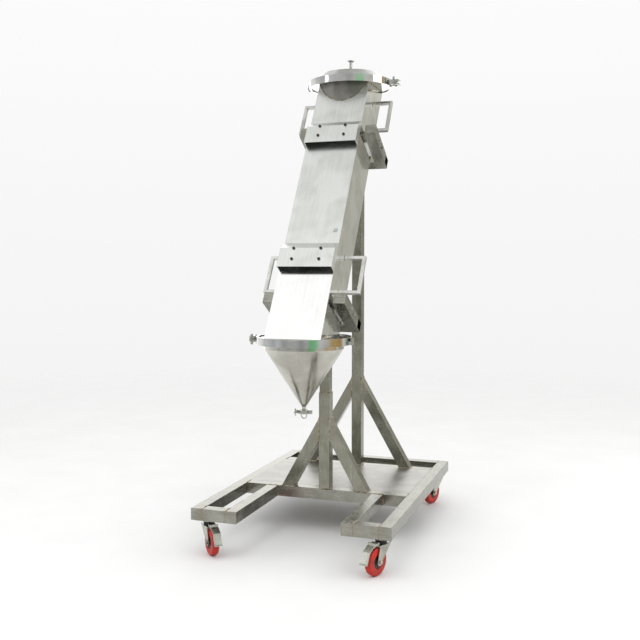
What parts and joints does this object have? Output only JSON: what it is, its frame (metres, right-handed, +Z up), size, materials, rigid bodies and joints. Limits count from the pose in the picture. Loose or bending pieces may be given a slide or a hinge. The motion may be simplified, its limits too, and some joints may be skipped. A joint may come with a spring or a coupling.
{
  "type": "inclined transfer chute on mobile stand",
  "caption": "Mobile stainless stand carrying a closed inclined grain chute with a clamped lid on top and a clamped cone hopper below.",
  "frame": {"origin": "on the floor under the centre of the wheeled base", "axes": "+Z up, -Y towards the open front of the base and the hopper, +X to the right seen from the front"},
  "size_m": [0.856, 1.3116, 2.1801],
  "materials": {
    "tube_steel": "brushed and pickled",
    "sheet_steel": "satin",
    "polished_steel": "polished",
    "plated_steel": "plated",
    "black_screws": "black oxide",
    "white_silicone": "matt",
    "black_rubber": "matt",
    "tag_label": "matt",
    "red_polyurethane": "semi-gloss",
    "dark_nylon": "matt"
  },
  "bodies": {
    "stand": {"bottom_flange": "polished_steel", "caster_plates": "plated_steel", "chute_channel": "sheet_steel", "clamp_front_halves": "polished_steel", "clamp_pins": "polished_steel", "clamp_rear_halves": "polished_steel", "cross_tubes": "tube_steel", "deck_plate": "sheet_steel", "front_cross_rail": "tube_steel", "front_post": "tube_steel", "front_post_extension": "tube_steel", "handle_frames": "polished_steel", "hood_screws": "black_screws", "hopper_cone": "polished_steel", "inner_rails": "tube_steel", "joint_hoods": "sheet_steel", "lid": "polished_steel", "lower_front_panel": "sheet_steel", "mid_cross_rail": "tube_steel", "middle_front_panel": "sheet_steel", "mounting_bolts": "polished_steel", "mounting_pads": "polished_steel", "outer_rails": "tube_steel", "outlet_bolts": "polished_steel", "outlet_cap": "polished_steel", "outlet_clamp": "polished_steel", "outriggers": "tube_steel", "post_braces": "tube_steel", "rear_cross_rail": "tube_steel", "rear_post": "tube_steel", "seal_rings": "white_silicone", "support_arms": "tube_steel", "swivel_seals": "black_rubber", "tag_plate": "tag_label", "toe_bars": "tube_steel", "top_flange": "polished_steel", "top_neck": "sheet_steel", "tube_end_caps": "tube_steel", "upper_front_panel": "sheet_steel"},
    "front_left_swivel": {"front_left_fork": "plated_steel"},
    "front_left_wheel": {"front_left_wheel_tread": "red_polyurethane", "front_left_wheel_core": "dark_nylon"},
    "front_left_pedal": {"front_left_brake_pedal": "plated_steel"},
    "front_right_swivel": {"front_right_fork": "plated_steel"},
    "front_right_wheel": {"front_right_wheel_tread": "red_polyurethane", "front_right_wheel_core": "dark_nylon"},
    "front_right_pedal": {"front_right_brake_pedal": "plated_steel"},
    "rear_left_swivel": {"rear_left_fork": "plated_steel"},
    "rear_left_wheel": {"rear_left_wheel_tread": "red_polyurethane", "rear_left_wheel_core": "dark_nylon"},
    "rear_left_pedal": {"rear_left_brake_pedal": "plated_steel"},
    "rear_right_swivel": {"rear_right_fork": "plated_steel"},
    "rear_right_wheel": {"rear_right_wheel_tread": "red_polyurethane", "rear_right_wheel_core": "dark_nylon"},
    "rear_right_pedal": {"rear_right_brake_pedal": "plated_steel"},
    "top_bolt": {"top_clamp_bolt": "polished_steel"},
    "top_nut": {"top_clamp_nut": "polished_steel"},
    "bottom_bolt": {"bottom_clamp_bolt": "polished_steel"},
    "bottom_nut": {"bottom_clamp_nut": "polished_steel"},
    "outlet_nut": {"outlet_wing_nut": "polished_steel"}
  },
  "joints": [
    {"name": "front_left_swivel_turn", "type": "hinge", "parent": "stand", "child": "front_left_swivel", "pos_m": [-0.372, -0.538, 0.13], "axis": [0, 0, 1], "continuous": true},
    {"name": "front_left_wheel_spin", "type": "hinge", "parent": "front_left_swivel", "child": "front_left_wheel", "pos_m": [-0.34654, -0.56346, 0.0575], "axis": [-0.7071, -0.7071, 0], "continuous": true},
    {"name": "front_left_pedal_press", "type": "hinge", "parent": "front_left_swivel", "child": "front_left_pedal", "pos_m": [-0.34654, -0.56346, 0.127], "axis": [0.7071, 0.7071, 0], "range_deg": [0, 9]},
    {"name": "front_right_swivel_turn", "type": "hinge", "parent": "stand", "child": "front_right_swivel", "pos_m": [0.372, -0.538, 0.13], "axis": [0, 0, 1], "continuous": true},
    {"name": "front_right_wheel_spin", "type": "hinge", "parent": "front_right_swivel", "child": "front_right_wheel", "pos_m": [0.35969, -0.57183, 0.0575], "axis": [-0.9397, 0.342, 0], "continuous": true},
    {"name": "front_right_pedal_press", "type": "hinge", "parent": "front_right_swivel", "child": "front_right_pedal", "pos_m": [0.35969, -0.57183, 0.127], "axis": [0.9397, -0.342, 0], "range_deg": [0, 9]},
    {"name": "rear_left_swivel_turn", "type": "hinge", "parent": "stand", "child": "rear_left_swivel", "pos_m": [-0.372, 0.538, 0.13], "axis": [0, 0, 1], "continuous": true},
    {"name": "rear_left_wheel_spin", "type": "hinge", "parent": "rear_left_swivel", "child": "rear_left_wheel", "pos_m": [-0.354, 0.56918, 0.0575], "axis": [0.866, -0.5, 0], "continuous": true},
    {"name": "rear_left_pedal_press", "type": "hinge", "parent": "rear_left_swivel", "child": "rear_left_pedal", "pos_m": [-0.354, 0.56918, 0.127], "axis": [-0.866, 0.5, 0], "range_deg": [0, 9]},
    {"name": "rear_right_swivel_turn", "type": "hinge", "parent": "stand", "child": "rear_right_swivel", "pos_m": [0.372, 0.538, 0.13], "axis": [0, 0, 1], "continuous": true},
    {"name": "rear_right_wheel_spin", "type": "hinge", "parent": "rear_right_swivel", "child": "rear_right_wheel", "pos_m": [0.3591, 0.50439, 0.0575], "axis": [-0.9336, 0.3584, 0], "continuous": true},
    {"name": "rear_right_pedal_press", "type": "hinge", "parent": "rear_right_swivel", "child": "rear_right_pedal", "pos_m": [0.3591, 0.50439, 0.127], "axis": [0.9336, -0.3584, 0], "range_deg": [0, 9]},
    {"name": "top_bolt_swing", "type": "hinge", "parent": "stand", "child": "top_bolt", "pos_m": [0.22, 0.28064, 2.06212], "axis": [0, 0, 1], "range_deg": [0, 100]},
    {"name": "top_nut_turn", "type": "hinge", "parent": "top_bolt", "child": "top_nut", "pos_m": [0.22, 0.24364, 2.06212], "axis": [0, 1, 0], "continuous": true},
    {"name": "bottom_bolt_swing", "type": "hinge", "parent": "stand", "child": "bottom_bolt", "pos_m": [-0.22, -0.381, 0.895], "axis": [0, 0, -1], "range_deg": [0, 100]},
    {"name": "bottom_nut_turn", "type": "hinge", "parent": "bottom_bolt", "child": "bottom_nut", "pos_m": [-0.22, -0.418, 0.895], "axis": [0, 1, 0], "continuous": true},
    {"name": "outlet_nut_turn", "type": "hinge", "parent": "stand", "child": "outlet_nut", "pos_m": [-0.029, -0.403, 0.5945], "axis": [0, 1, 0], "continuous": true}
  ]
}
